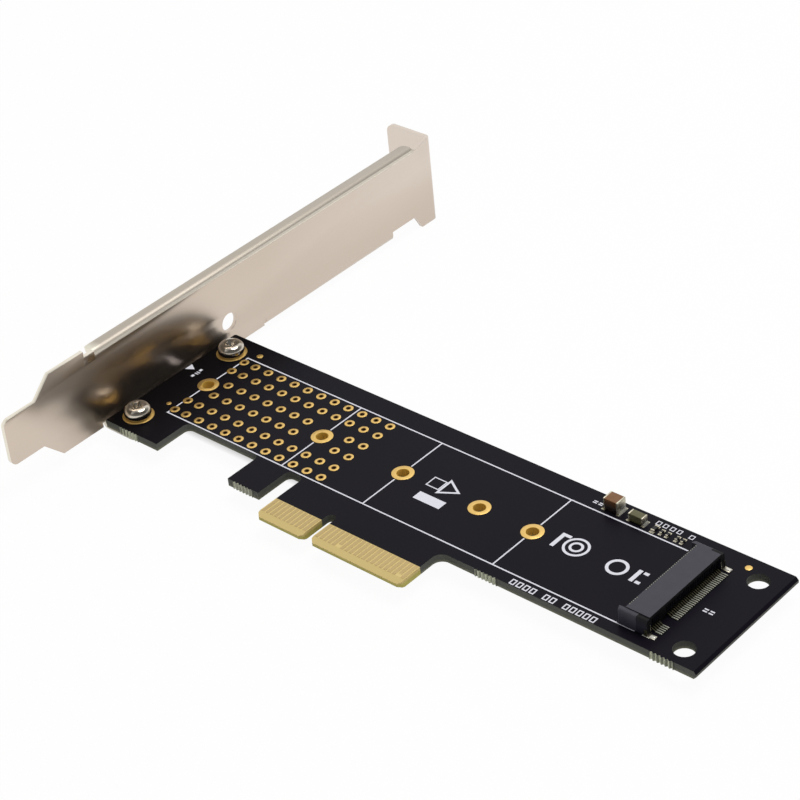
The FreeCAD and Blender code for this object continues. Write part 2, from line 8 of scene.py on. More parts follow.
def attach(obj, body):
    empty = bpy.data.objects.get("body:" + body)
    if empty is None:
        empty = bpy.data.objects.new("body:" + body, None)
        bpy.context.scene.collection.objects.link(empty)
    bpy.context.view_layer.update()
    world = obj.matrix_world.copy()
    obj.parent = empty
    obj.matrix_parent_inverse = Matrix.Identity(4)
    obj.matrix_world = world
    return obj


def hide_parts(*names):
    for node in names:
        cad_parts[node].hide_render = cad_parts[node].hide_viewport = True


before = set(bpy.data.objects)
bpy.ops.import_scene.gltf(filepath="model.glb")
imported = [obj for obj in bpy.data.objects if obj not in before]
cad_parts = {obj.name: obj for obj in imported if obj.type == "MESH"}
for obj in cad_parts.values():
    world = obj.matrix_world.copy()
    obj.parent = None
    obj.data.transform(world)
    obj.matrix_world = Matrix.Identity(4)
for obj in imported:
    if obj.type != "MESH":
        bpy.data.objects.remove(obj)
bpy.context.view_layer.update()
mm = 0.001
near = 0.01  # places this close, in millimetres, count as one

# Camera, as it stood for the picture
cameraSetup = {
    "place": (0.300533, -0.251366, 0.261284),
    "right": (0.74880868, 0.65691063, -0.08805671),
    "up": (-0.32205568, 0.47674873, 0.81791857),
    "back": (0.57928032, -0.58410536, 0.56855539),
    "lens": 109.76,
    "film": 36.0,
    "clip": (0.01, 20),
}


def setCamera():
    lens = bpy.data.cameras.new("camera")
    lens.lens = cameraSetup["lens"]
    lens.sensor_width = cameraSetup["film"]
    lens.clip_start, lens.clip_end = cameraSetup["clip"]
    camera = bpy.data.objects.new("camera", lens)
    turn = Matrix((cameraSetup["right"], cameraSetup["up"], cameraSetup["back"])).transposed()
    camera.matrix_world = Matrix.Translation(cameraSetup["place"]) @ turn.to_4x4()
    bpy.context.scene.collection.objects.link(camera)
    bpy.context.scene.camera = camera


# Shader sums written as Python sums


class Flow:
    def __init__(self, tree, socket):
        self.tree = tree
        self.socket = socket

    def maths(self, operation, first, second=0.0, clamp=False):
        made = self.tree.nodes.new("ShaderNodeMath")
        made.operation = operation
        made.use_clamp = clamp
        for slot, value in zip(made.inputs, (first, second)):
            if isinstance(value, Flow):
                self.tree.links.new(value.socket, slot)
            else:
                slot.default_value = value
        return Flow(self.tree, made.outputs[0])

    def __add__(self, other):
        return self.maths("ADD", self, other)

    __radd__ = __add__

    def __sub__(self, other):
        return self.maths("SUBTRACT", self, other)

    def __rsub__(self, other):
        return self.maths("SUBTRACT", other, self)

    def __mul__(self, other):
        return self.maths("MULTIPLY", self, other)

    def above(self, edge, soft):  # 0 below the edge, 1 above it
        return self.maths("MULTIPLY", self - (edge - soft / 2), 1 / soft, clamp=True)

    def below(self, edge, soft):
        return 1 - self.above(edge, soft)

    def between(self, low, high, soft):
        return self.above(low, soft) * self.below(high, soft)

    def size(self):
        return self.maths("ABSOLUTE", self)

    def wave(self):
        return self.maths("SINE", self)


class Finish:
    def __init__(self, name):
        self.material = bpy.data.materials.new(name)
        self.material.use_nodes = True
        self.tree = self.material.node_tree
        self.tree.nodes.clear()

    def node(self, kind, settings=None, sockets=None, result=0):
        made = self.tree.nodes.new(kind)
        for name, value in (settings or {}).items():
            setattr(made, name, value)
        for name, value in (sockets or {}).items():
            if isinstance(value, Flow):
                self.tree.links.new(value.socket, made.inputs[name])
            else:
                made.inputs[name].default_value = value
        return Flow(self.tree, made.outputs[result]) if made.outputs else made

    def place(self):  # where a point is, in millimetres
        spot = self.node("ShaderNodeTexCoord", result=3)
        return self.node("ShaderNodeVectorMath", {"operation": "SCALE"}, {0: spot, 3: 1 / mm})

    def facing(self):
        return self.axes(self.node("ShaderNodeNewGeometry", result=3))

    def axes(self, vector):
        made = self.node("ShaderNodeSeparateXYZ", sockets={0: vector})
        outputs = made.socket.node.outputs
        return [Flow(self.tree, outputs[i]) for i in range(3)]

    def stretched(self, vector, scale):
        return self.node("ShaderNodeVectorMath", {"operation": "MULTIPLY"}, {0: vector, 1: scale})

    def noise(self, vector, scale, detail=3.0, rough=0.5):
        sockets = {"Vector": vector, "Scale": scale, "Detail": detail, "Roughness": rough}
        return self.node("ShaderNodeTexNoise", sockets=sockets)

    def mix(self, factor, first, second):  # a plain colour is three numbers
        ends = [end if isinstance(end, Flow) else rgb(*end) for end in (first, second)]
        sockets = {0: factor, 6: ends[0], 7: ends[1]}
        return self.node("ShaderNodeMix", {"data_type": "RGBA"}, sockets, 2)

    def bump(self, height, distance):
        return self.node("ShaderNodeBump", sockets={"Height": height, "Distance": distance * mm})

    def surface(self, **sockets):
        names = {name.replace("_", " "): value for name, value in sockets.items()}
        shader = self.node("ShaderNodeBsdfPrincipled", sockets=names)
        self.node("ShaderNodeOutputMaterial", sockets={0: shader})
        return self.material


def rgb(r, g, b):
    return (r, g, b, 1.0)


# Board: mask on its faces, glass laminate on its walls, torn and pale where the tabs broke off,
# with painted shade on the mask beside the bracket and on the walls facing -x

boardLook = {
    "mask": (0.0058, 0.0054, 0.0105),
    "maskWarm": (0.0085, 0.0068, 0.0105),
    # painted shade: the mask darkens beside the bracket and clears by x = 13
    "maskShadeByBracket": (0.0012, 0.0008, 0.0002),
    "bracketShadeX": (0.0, 26.0),
    "wall": (0.155, 0.156, 0.138),
    "wallShade": (0.10, 0.106, 0.092),
    "wallLow": (0.34, 0.34, 0.22),
    # painted shade: laminate walls facing -x are made almost black
    "leftWallShade": (0.022, 0.02, 0.018),
    "lowZ": (-1.2, 0.5),
    "plies": 26.0,
    "torn": (0.42, 0.44, 0.32),
    "tornPale": (0.80, 0.82, 0.62),
    "tornBright": (0.75, 0.76, 0.62),
    "shards": 7.4,
    "tabs": (
        (-4.1, 0.6, -19.0),
        (26.0, 30.7, -19.0),
        (78.3, 82.9, -13.4),
        (115.2, 119.8, -13.4),
    ),
    "brightTab": 1,
    "tongue": (0.82, 0.64, 0.27),
    "tongueLow": (0.62, 0.56, 0.16),
    "tongueWorn": (0.42, 0.31, 0.14),
    "tongueX": (35.5, 71.0),
    "tongueY": -18.7,
    "tongueLowZ": (-0.62, 0.3),
}


def solderMask():
    look = boardLook
    finish = Finish("solderMask")
    spot = finish.place()
    x, y, z = finish.axes(spot)
    facing = finish.facing()
    cloud = finish.noise(spot, 0.06, 2.0)
    grain = finish.noise(spot, 9.0, 3.0)
    wall = facing[2].size().below(0.35, 0.1)
    tongue = y.below(look["tongueY"], 0.06) * x.between(*look["tongueX"], 0.2)
    plies = (z * look["plies"] + finish.noise(spot, 1.4, 2.0) * 3.0).wave() * 0.5 + 0.5
    tabs = [x.between(x0, x1, 0.2) * y.below(edge, 0.1) for x0, x1, edge in look["tabs"]]
    bites = sum(tabs[1:], tabs[0])
    shards = (x * look["shards"] + finish.noise(spot, 0.7, 2.0) * 3.0).wave().above(-0.1, 0.9)
    mask = finish.mix(cloud, look["mask"], look["maskWarm"])
    # painted shade on the mask beside the bracket
    mask = finish.mix(x.below(*look["bracketShadeX"]), mask, look["maskShadeByBracket"])
    laminate = finish.mix(plies * 0.35 + grain * 0.3, look["wall"], look["wallShade"])
    laminate = finish.mix(z.below(*look["lowZ"]) * 0.45, laminate, look["wallLow"])
    laminate = finish.mix(bites * 0.5, laminate, look["torn"])
    laminate = finish.mix(bites * shards * 0.9, laminate, look["tornPale"])
    laminate = finish.mix(tabs[look["brightTab"]] * 0.45, laminate, look["tornBright"])
    # painted shade on the walls facing -x
    laminate = finish.mix(facing[0].below(-0.7, 0.2), laminate, look["leftWallShade"])
    board = finish.mix(wall, mask, laminate)
    tan = finish.mix(z.below(*look["tongueLowZ"]), look["tongue"], look["tongueLow"])
    tan = finish.mix(grain * 0.25, tan, look["tongueWorn"])
    traces = finish.noise(finish.stretched(spot, (0.35, 1.0, 1.0)), 0.9, 2.0)
    return finish.surface(
        Base_Color=finish.mix(tongue, board, tan),
        Roughness=0.30 + wall * 0.3 + grain * 0.08,
        Normal=finish.bump(grain * 0.4 + traces * 0.6, 0.004),
        Specular_IOR_Level=0.06,
    )


def metalFinish(name, colour, shade, rough, scale, bump, metallic=1.0):
    finish = Finish(name)
    spot = finish.place()
    cloud = finish.noise(spot, scale, 3.0)
    fine = finish.noise(spot, scale * 7.0, 4.0)
    tone = finish.mix(cloud * 0.7 + fine * 0.2, colour, shade)
    return finish.surface(
        Base_Color=tone,
        Metallic=metallic,
        Roughness=rough + fine * 0.12 + cloud * 0.06,
        Normal=finish.bump(fine, bump),
    )


# Bracket: rolled sheet, with a painted grey reflection on its upper flange, painted highlights
# along the fold and the rims, a painted lighter reflection on its far part and a painted darker
# reflection low down

nickelLook = {
    "sheet": (0.675, 0.575, 0.485),
    "sheetWarm": (0.625, 0.53, 0.44),
    # painted lighter reflection on the far upper part of the plate
    "far": (0.735, 0.65, 0.58),
    "farY": (52.0, 50.0),
    "farZ": (5.0, 8.0),
    # painted darker reflection of the board on the lower part of the plate
    "low": (0.56, 0.475, 0.40),
    "lowZ": (3.0, 12.0),
    "rolled": (0.42, 0.35, 0.26),
    # painted grey reflection on the upward face of the flange
    "flangeReflection": (0.46, 0.425, 0.365),
    # painted highlight along the fold
    "fold": (0.98, 0.92, 0.80),
    "crownZ": (13.2, 0.4),
    "crownNearY": (-18.9, 0.1),
    "crownFarY": (73.0, 0.5),
    # painted highlight on the rims of the sheet
    "rim": (0.95, 0.93, 0.80),
    "rimHighlightY": (-17.0, 2.0),
}


def nickelSheet():
    look = nickelLook
    finish = Finish("nickelSheet")
    spot = finish.place()
    y, z = finish.axes(spot)[1:]
    facing = finish.facing()
    up = facing[2]
    cloud = finish.noise(spot, 0.035, 2.0)
    rolled = finish.noise(finish.stretched(spot, (1.0, 0.08, 1.0)), 5.0, 3.0, 0.5)
    speck = finish.noise(spot, 12.0, 3.0)
    # painted highlight on edges that face sideways, near the foot
    rim = facing[0].size().below(0.5, 0.2) * y.below(*look["rimHighlightY"])
    crown = z.above(*look["crownZ"]) * up.above(0.12, 0.1)
    crown = crown * y.above(*look["crownNearY"]) * y.below(*look["crownFarY"])
    tone = finish.mix(cloud * 0.6, look["sheet"], look["sheetWarm"])
    # painted lighter reflection towards the far end
    tone = finish.mix(y.above(*look["farY"]) * z.above(*look["farZ"]) * 0.85, tone, look["far"])
    # painted darker reflection of the board, low down
    tone = finish.mix(z.below(*look["lowZ"]) * 0.5, tone, look["low"])
    tone = finish.mix(rolled * 0.08, tone, look["rolled"])
    # painted grey reflection on the flange top
    tone = finish.mix(crown * up.above(0.6, 0.1) * 0.75, tone, look["flangeReflection"])
    # painted highlight on the fold
    tone = finish.mix(crown * up.below(0.6, 0.1), tone, look["fold"])
    tone = finish.mix(rim * 0.6, tone, look["rim"])
    return finish.surface(
        Base_Color=tone,
        Metallic=1.0,
        Roughness=0.27 + rolled * 0.02 + cloud * 0.05 + crown * 0.25,
        Normal=finish.bump(rolled * 0.3 + speck * 0.7, 0.0002),
    )


def plainFinish(name, colour, shade, rough, scale, bump, specular, metallic=0.0):
    finish = Finish(name)
    spot = finish.place()
    cloud = finish.noise(spot, scale, 3.0)
    fine = finish.noise(spot, scale * 9.0, 4.0)
    tone = finish.mix(cloud, colour, shade)
    return finish.surface(
        Base_Color=tone,
        Metallic=metallic,
        Roughness=rough + fine * 0.15,
        Normal=finish.bump(fine * 0.7 + cloud * 0.3, bump),
        Specular_IOR_Level=specular,
    )


# Socket: painted shade makes its rear bay and its rear faces almost black, and its sides facing -y
# darker low down

plasticLook = {
    "top": (0.073, 0.070, 0.086),
    "topShade": (0.060, 0.057, 0.071),
    # painted shade in the rear bay and on the rear faces
    "bay": (0.0035, 0.003, 0.004),
    "bayShadeX": (110.5, 112.68),
    "bayShadeZ": (3.25, 0.1),
    # painted shade on the faces toward -y, low down
    "side": (0.022, 0.022, 0.042),
    "sideShadeZ": (2.4, 1.6),
}


def socketPlastic():
    look = plasticLook
    finish = Finish("socketPlastic")
    spot = finish.place()
    x, _, z = finish.axes(spot)
    rearward, sideways = finish.facing()[:2]
    cloud = finish.noise(spot, 0.8, 3.0)
    fine = finish.noise(spot, 7.0, 4.0)
    tone = finish.mix(cloud, look["top"], look["topShade"])
    # painted shade on the rear faces and inside the bay
    bay = x.between(*look["bayShadeX"], 0.04) * z.below(*look["bayShadeZ"])
    rearShade = rearward.above(0.6, 0.2) + bay
    tone = finish.mix(rearShade.maths("MINIMUM", rearShade, 1.0), tone, look["bay"])
    # painted shade on the sides facing -y
    side = sideways.below(-0.6, 0.3) * z.below(*look["sideShadeZ"])
    tone = finish.mix(side * 0.6, tone, look["side"])
    return finish.surface(
        Base_Color=tone,
        Roughness=0.55 + fine * 0.15,
        Normal=finish.bump(fine * 0.7 + cloud * 0.3, 0.006),
        Specular_IOR_Level=0.2,
    )


# Large capacitor: painted shade darkens it towards the board

ceramicLook = {
    "top": (0.24, 0.105, 0.036),
    "topShade": (0.17, 0.07, 0.022),
    # painted shade low on the body, near the board
    "low": (0.012, 0.006, 0.003),
    "lowZ": (1.7, 1.5),
}


def brownCeramic():
    look = ceramicLook
    finish = Finish("brownCeramic")
    spot = finish.place()
    z = finish.axes(spot)[2]
    cloud = finish.noise(spot, 0.9, 3.0)
    fine = finish.noise(spot, 8.0, 4.0)
    tone = finish.mix(cloud, look["top"], look["topShade"])
    return finish.surface(
        # painted shade towards the board
        Base_Color=finish.mix(z.below(*look["lowZ"]), tone, look["low"]),
        Roughness=0.4 + fine * 0.15,
        Normal=finish.bump(fine * 0.7 + cloud * 0.3, 0.006),
        Specular_IOR_Level=0.4,
    )


# The other finishes, by name, colour, shade, roughness, noise scale and bump in millimetres,
# then the share of metal for metals, and specular level and share of metal for the rest

metals = {
    "gold": ("goldPlate", (0.83, 0.57, 0.20), (0.74, 0.48, 0.14), 0.28, 0.9, 0.004),
    # the via barrels take a dark brown that is painted shade inside the bores
    "barrel": ("barrelPaintedShade", (0.15, 0.075, 0.014), (0.11, 0.05, 0.01), 0.55, 0.9, 0.004, 0.3),
    "bore": ("borePlate", (0.98, 0.68, 0.15), (0.84, 0.54, 0.09), 0.5, 0.9, 0.004, 0.2),
    "fingers": ("goldFingers", (0.535, 0.405, 0.195), (0.465, 0.345, 0.155), 0.36, 0.6, 0.004),
    "steel": ("platedSteel", (0.70, 0.65, 0.57), (0.52, 0.46, 0.38), 0.08, 0.7, 0.001),
    # near black: painted shade on the contacts and the hold-down uprights under and beside the
    # socket
    "shadedMetal": ("contactPinsShaded", (0.045, 0.040, 0.018), (0.028, 0.025, 0.010), 0.38, 1.5, 0.002, 0.7),
    "tin": ("tinPlate", (0.62, 0.58, 0.47), (0.50, 0.46, 0.35), 0.3, 1.4, 0.004),
    "solder": ("solder", (0.62, 0.61, 0.54), (0.40, 0.39, 0.33), 0.24, 2.2, 0.02),
}
plains = {
    "bead": ("beadSolder", (0.42, 0.42, 0.36), (0.28, 0.28, 0.22), 0.4, 1.2, 0.006, 0.5, 0.3),
    "bright": ("freshSolder", (0.88, 0.87, 0.80), (0.70, 0.68, 0.58), 0.3, 1.6, 0.006, 0.5, 0.4),
    "print": ("printedWhite", (0.86, 0.86, 0.93), (0.78, 0.78, 0.86), 0.55, 1.3, 0.004, 0.3),
    "olive": ("oliveCeramic", (0.125, 0.118, 0.050), (0.095, 0.090, 0.034), 0.4, 1.1, 0.006, 0.4),
    "black": ("blackCeramic", (0.014, 0.014, 0.015), (0.022, 0.021, 0.021), 0.4, 1.5, 0.005, 0.3),
}
finishes = {
    "board": solderMask(),
    "nickel": nickelSheet(),
    "plastic": socketPlastic(),
    "brown": brownCeramic(),
}
finishes.update({name: metalFinish(*row) for name, row in metals.items()})
finishes.update({name: plainFinish(*row) for name, row in plains.items()})
print("finishes mixed")


# Hand tools for the pieces


def clearSelection():
    if bpy.context.object and bpy.context.object.mode != "OBJECT":
        bpy.ops.object.mode_set(mode="OBJECT")
    bpy.ops.object.select_all(action="DESELECT")


def makeActive(piece):
    clearSelection()
    piece.select_set(True)
    bpy.context.view_layer.objects.active = piece


def settle(piece):
    makeActive(piece)
    bpy.ops.object.transform_apply(location=True, rotation=True, scale=True)


def block(name, low, high):  # corners in millimetres
    clearSelection()
    middle = [(a + b) / 2 * mm for a, b in zip(low, high)]
    sides = [(b - a) * mm for a, b in zip(low, high)]
    bpy.ops.mesh.primitive_cube_add(size=1, location=middle, scale=sides)
    piece = bpy.context.active_object
    piece.name = name
    settle(piece)
    return piece


def rod(name, x, y, low, high, radius, sides):
    clearSelection()
    place = (x * mm, y * mm, (low + high) / 2 * mm)
    size = {"radius": radius * mm, "depth": (high - low) * mm}
    bpy.ops.mesh.primitive_cylinder_add(vertices=sides, location=place, **size)
    piece = bpy.context.active_object
    piece.name = name
    settle(piece)
    return piece


def pickFaces(piece, test):
    makeActive(piece)
    bpy.ops.object.mode_set(mode="EDIT")
    bpy.ops.mesh.select_mode(type="FACE")
    bpy.ops.mesh.select_all(action="DESELECT")
    shape = bmesh.from_edit_mesh(piece.data)
    for face in shape.faces:
        if test(face.calc_center_median() / mm, face.normal):
            face.select_set(True)
    bmesh.update_edit_mesh(piece.data)


def pickEdges(piece, test):
    makeActive(piece)
    bpy.ops.object.mode_set(mode="EDIT")
    bpy.ops.mesh.select_mode(type="EDGE")
    bpy.ops.mesh.select_all(action="DESELECT")
    shape = bmesh.from_edit_mesh(piece.data)
    for edge in shape.edges:
        if test(edge.verts[0].co / mm, edge.verts[1].co / mm):
            edge.select_set(True)
    bmesh.update_edit_mesh(piece.data)


def pickAll(piece):
    makeActive(piece)
    bpy.ops.object.mode_set(mode="EDIT")
    bpy.ops.mesh.select_all(action="SELECT")


def leave():
    bpy.ops.object.mode_set(mode="OBJECT")


def bevelPicked(width, segments, profile=0.5):
    bpy.ops.mesh.bevel(offset=width * mm, segments=segments, profile=profile)
    leave()


def resizePicked(*scale):
    bpy.ops.transform.resize(value=scale)
    leave()


def cutLevels(piece, axis, levels):  # new edge loops at these places along one axis
    for level in levels:
        pickAll(piece)
        spot = [0.0, 0.0, 0.0]
        spot[axis] = level * mm
        normal = [0.0, 0.0, 0.0]
        normal[axis] = 1.0
        bpy.ops.mesh.bisect(plane_co=spot, plane_no=normal, threshold=0.0001 * mm)
        leave()


def applied(piece, modifier):
    makeActive(piece)
    bpy.ops.object.modifier_apply(modifier=modifier.name)


def rounded(piece, width, segments=2, angle=40.0):
    bevel = piece.modifiers.new("edges", "BEVEL")
    bevel.width = width * mm
    bevel.segments = segments
    bevel.limit_method = "ANGLE"
    bevel.angle_limit = math.radians(angle)
    applied(piece, bevel)
    return piece


def cutOut(piece, cutter):
    cut = piece.modifiers.new("cut", "BOOLEAN")
    cut.operation = "DIFFERENCE"
    cut.solver = "EXACT"
    cut.object = cutter
    applied(piece, cut)
    bpy.data.objects.remove(cutter)


def copied(piece, moves):  # one copy for each move in millimetres, each with its own mesh
    copies = []
    for move in moves:
        makeActive(piece)
        bpy.ops.object.duplicate(linked=False)
        bpy.ops.transform.translate(value=[step * mm for step in move])
        bpy.ops.object.transform_apply(location=True, rotation=False, scale=False)
        copies.append(bpy.context.active_object)
    return copies


def spread(piece, moves):  # copies that take the place of the piece itself
    copies = copied(piece, moves)
    bpy.data.objects.remove(piece)
    return copies


def joined(name, pieces):
    clearSelection()
    for piece in pieces:
        piece.select_set(True)
    bpy.context.view_layer.objects.active = pieces[0]
    if len(pieces) > 1:
        bpy.ops.object.join()
    whole = bpy.context.active_object
    whole.name = name
    return whole


def present(piece, finish, slotName, *nodes, angle=35.0):
    piece.data.materials.clear()
    piece.data.materials.append(finishes[finish])
    makeActive(piece)
    bpy.ops.object.shade_smooth_by_angle(angle=math.radians(angle))
    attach(piece, "root")
    if nodes:
        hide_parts(*nodes)


# CAD nodes that stay

keptNodes = {
    "circuit_board": "board",
    "edge_contacts_component_side": "fingers",
    "edge_contacts_solder_side": "fingers",
    "component_lands": "tin",
    "silkscreen_outline": "print",
}


def dressKeptNodes():
    for name, finish in keptNodes.items():
        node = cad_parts[name]
        for slot in node.material_slots:
            slot.material = finishes[finish]


# Plated holes: a ring on each face of the board and a barrel between them

holeShape = {
    "copper": 0.04,
    "copperEdge": 0.02,
    "board": 1.6,
    "barrelProud": 0.03,
    "barrelEdge": 0.01,
    "overlap": 0.005,
    "viaBore": 0.355,
    "viaOpening": 0.52,
    "viaLand": 0.98,
    "viaSides": 32,
    "viaBoreSides": 24,
    "viaFirstX": 0.5,
    "viaPitch": 3.5,
    "viaColumns": 12,
    "viaRows": (2.0, 6.0, 9.5),
    "noMiddleRow": (0, 8, 9),
    "standoffX": (0.0, 30.0, 50.0, 68.0, 80.0),
    "standoffBore": 1.2,
    "standoffOpening": 1.24,
    "standoffLand": 2.12,
    "screwSpots": ((-4.05, -14.8), (-4.05, 10.6)),
    "screwBore": 1.6,
    "screwOpening": 1.66,
    "screwLand": 3.08,
    "ringSides": 64,
}


def land(name, bore, radius, sides):
    copper = holeShape["copper"]
    ring = rod(name, 0, 0, 0, copper, radius, sides)
    pickEdges(ring, lambda a, b: min(a.z, b.z) > copper - 0.001)
    bevelPicked(holeShape["copperEdge"], 2)
    cutOut(ring, rod("bore", 0, 0, -1, 1, bore, sides))
    under = copied(ring, [(0, 0, 0)])[0]
    under.rotation_euler.x = math.pi
    under.location.z = -holeShape["board"] * mm
    settle(under)
    return joined(name, [ring, under])


def barrel(name, bore, radius, sides):
    low = -holeShape["board"]
    proud = holeShape["barrelProud"]
    tube = rod(name, 0, 0, low - proud, proud, radius, sides)
    cutOut(tube, rod("bore", 0, 0, low - 1, 1, bore, sides))
    rounded(tube, holeShape["barrelEdge"], 1)
    return tube


def viaSpots():
    h = holeShape
    spots = []
    for column in range(h["viaColumns"]):
        x = h["viaFirstX"] if column == 0 else column * h["viaPitch"]
        for row in h["viaRows"]:
            if row == h["viaRows"][0] and column in h["noMiddleRow"]:
                continue
            spots += [(x, row, 0), (x, -row, 0)]
    return spots


def plateHoles():
    h = holeShape
    overlap = h["overlap"]
    via = land("viaLand", h["viaOpening"], h["viaLand"], h["viaSides"])
    present(joined("viaLands", spread(via, viaSpots())), "gold", "gold_plating", "thermal_vias")
    tube = barrel("viaBarrel", h["viaBore"], h["viaOpening"] + overlap, h["viaBoreSides"])
    present(joined("viaBarrels", spread(tube, viaSpots())), "barrel", "gold_plating")
    lands = []
    tubes = []
    kinds = {"standoff": [(x, 0) for x in h["standoffX"]], "screw": h["screwSpots"]}
    for kind, places in kinds.items():
        spots = [(x, y, 0) for x, y in places]
        bore, opening, radius = (h[kind + part] for part in ("Bore", "Opening", "Land"))
        ring = land(kind + "Land", opening, radius, h["ringSides"])
        tube = barrel(kind + "Barrel", bore, opening + overlap, h["ringSides"])
        lands += spread(ring, spots)
        tubes += spread(tube, spots)
    present(joined("holeLands", lands), "gold", "gold_plating", "plated_holes")
    present(joined("holeBarrels", tubes), "bore", "gold_plating")
    print("holes plated")


# Screws of the bracket

screwShape = {
    "headR": 2.64,
    "headSides": 72,
    "headEdge": 0.05,
    "seat": 0.04,
    "height": 2.25,
    "crown": 1.3,
    "crownSegments": 9,
    "crownProfile": 0.52,
    "brim": 0.22,
    "recessLength": 3.1,
    "recessWidth": 0.72,
    "recessDepth": 1.25,
    "recessTaper": (0.42, 0.7, 1.0),
    "pitR": 0.95,
    "pitDeeper": 0.25,
    "pitTaper": (0.35, 0.35, 1.0),
    "coreR": 1.12,
    "coreSides": 32,
    "coreTip": 0.3,
    "threadR": 1.45,
    "threadStart": 0.35,
    "pitch": 0.5,
    "ridge": 0.9,
    "end": -3.96,
    "turns": (12.0, 57.0),
}


def recessCutter(turn, top):
    s = screwShape
    half = s["recessLength"] / 2
    wide = s["recessWidth"] / 2
    cutter = block("recess", (-half, -wide, top - s["recessDepth"]), (half, wide, top + 0.4))
    pickFaces(cutter, lambda middle, normal: normal.z < -0.5)
    resizePicked(*s["recessTaper"])
    cutter.rotation_euler.z = math.radians(turn)
    settle(cutter)
    return cutter


def panScrew(turn):
    s = screwShape
    top = s["seat"] + s["height"]
    head = rod("screw", 0, 0, s["seat"], top, s["headR"], s["headSides"])
    pickEdges(head, lambda a, b: min(a.z, b.z) > top - near)
    bevelPicked(s["crown"], s["crownSegments"], s["crownProfile"])
    pickEdges(head, lambda a, b: max(a.z, b.z) < s["seat"] + near)
    bevelPicked(s["brim"], 4)
    cutOut(head, recessCutter(turn, top))
    cutOut(head, recessCutter(turn + 90, top))
    pitLow = top - s["recessDepth"] - s["pitDeeper"]
    pit = rod("pit", 0, 0, pitLow, top + 0.3, s["pitR"], s["coreSides"])
    pickFaces(pit, lambda middle, normal: normal.z < -0.5)
    resizePicked(*s["pitTaper"])
    cutOut(head, pit)
    rounded(head, s["headEdge"], 2, 45)
    core = rod("core", 0, 0, s["end"], s["seat"] + 0.1, s["coreR"], s["coreSides"])
    pickEdges(core, lambda a, b: max(a.z, b.z) < s["end"] + near)
    bevelPicked(s["coreTip"], 2)
    return joined("panScrew", [head, core] + screwThread())


def screwThread():
    s = screwShape
    low = s["end"] + s["threadStart"]
    pitch = s["pitch"]
    grow = s["threadR"] / s["coreR"]
    ridges = []
    for i in range(int((s["seat"] - low) / pitch) - 1):
        start = low + i * pitch
        middle = low + (i + s["ridge"] / 2) * pitch
        end = low + (i + s["ridge"]) * pitch
        ridge = rod("ridge", 0, 0, start, end, s["coreR"], s["coreSides"])
        cutLevels(ridge, 2, (middle,))
        pickEdges(ridge, lambda a, b: abs(a.z - middle) < near and abs(b.z - middle) < near)
        bpy.ops.transform.resize(value=(grow, grow, 1.0), center_override=(0, 0, middle * mm))
        leave()
        ridges.append(ridge)
    return ridges


def fitScrews():
    screws = []
    for (x, y), turn in zip(holeShape["screwSpots"], screwShape["turns"]):
        screw = panScrew(turn)
        screw.location = (x * mm, y * mm, 0)
        settle(screw)
        screws.append(screw)
    present(joined("panScrews", screws), "steel", "plated_steel", "bracket_screws", angle=28)
    print("screws fitted")


# Folded bracket: the solid's own sheet with its edges broken, and the web of the plate between
# its foot and the upper flange

bracketShape = {
    "edge": 0.11,
    "segments": 2,
    "web": ((-9.765, -21.33, 13.1), (-8.895, -18.6, 14.95)),
    "webEdge": 0.03,
    "weld": 0.002,
    "flat": 1.0,
}


def dressBracket():
    b = bracketShape
    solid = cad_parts["bracket"]
    sheet = bpy.data.objects.new("foldedBracket", solid.data.copy())
    bpy.context.scene.collection.objects.link(sheet)
    pickAll(sheet)
    bpy.ops.mesh.remove_doubles(threshold=b["weld"] * mm)
    bpy.ops.mesh.dissolve_limited(angle_limit=math.radians(b["flat"]))
    leave()
    rounded(sheet, b["edge"], b["segments"], 50)
    web = rounded(block("web", *b["web"]), b["webEdge"], 2)
    whole = joined("foldedBracket", [sheet, web])
    present(whole, "nickel", "nickel_sheet", "bracket", angle=32)
    print("bracket dressed")


# Fiducials: a bright dot in its cleared ring

fiducialShape = {
    "dots": ((1.56, 12.78, 0.65), (116.09, 13.08, 0.65), (-1.89, -8.76, 0.5)),
    "height": 0.04,
    "edge": 0.012,
    "sides": 32,
}


def setFiducials():
    f = fiducialShape
    dots = []
    for x, y, radius in f["dots"]:
        dot = rod("dot", x, y, 0, f["height"], radius, f["sides"])
        dots.append(rounded(dot, f["edge"], 2))
    present(joined("fiducialDots", dots), "gold", "gold_plating", "fiducial_pads")


# Module socket

socketShape = {
    "lipX": 107.8,
    "jawX": 107.3,
    "rearX": 112.7,
    "half": 10.95,
    "endWall": 0.95,
    "endOverlap": 0.05,
    "endHeight": 3.2,
    "endCorner": 0.5,
    "endBevel": 0.38,
    "endInnerBevel": 0.05,
    "height": 3.4,
    "edge": 0.045,
    "slotLow": 1.35,
    "slotHigh": 2.3,
    "slotEnd": 0.1,
    "floorX": 110.2,
    "keyY": -6.125,
    "keyHalf": 0.525,
    "keyEdge": 0.08,
    "armFrontX": 106.6,
    "bayHalf": 9.75,
    "bayDepth": 0.45,
    "bayHigh": 2.75,
    "combDepth": 1.3,
    "combWidth": 0.34,
    "lipCombWidth": 0.26,
    "combBack": 0.4,
    "combLow": 0.45,
    "notchWidth": 0.28,
    "notchDepth": 0.22,
    "pitch": 0.5,
    "rearPins": (9.25, -6.0),
    "frontPins": (9.0, -6.25),
    "keyReach": 0.8,
    "pegs": ((9.4, 0.8), (-9.4, 0.55)),
    "pegX": 110.7,
    "pegLow": -1.2,
    "pegEdge": 0.12,
}
tipShape = {"half": 0.12, "reach": 0.17, "low": 0.2, "high": 0.02, "edge": 0.03}


def pinSpots(first, keyMiddle):
    pitch = socketShape["pitch"]
    spots = [first - i * pitch for i in range(round(2 * first / pitch) + 1)]
    return [y for y in spots if abs(y - keyMiddle) > socketShape["keyReach"]]


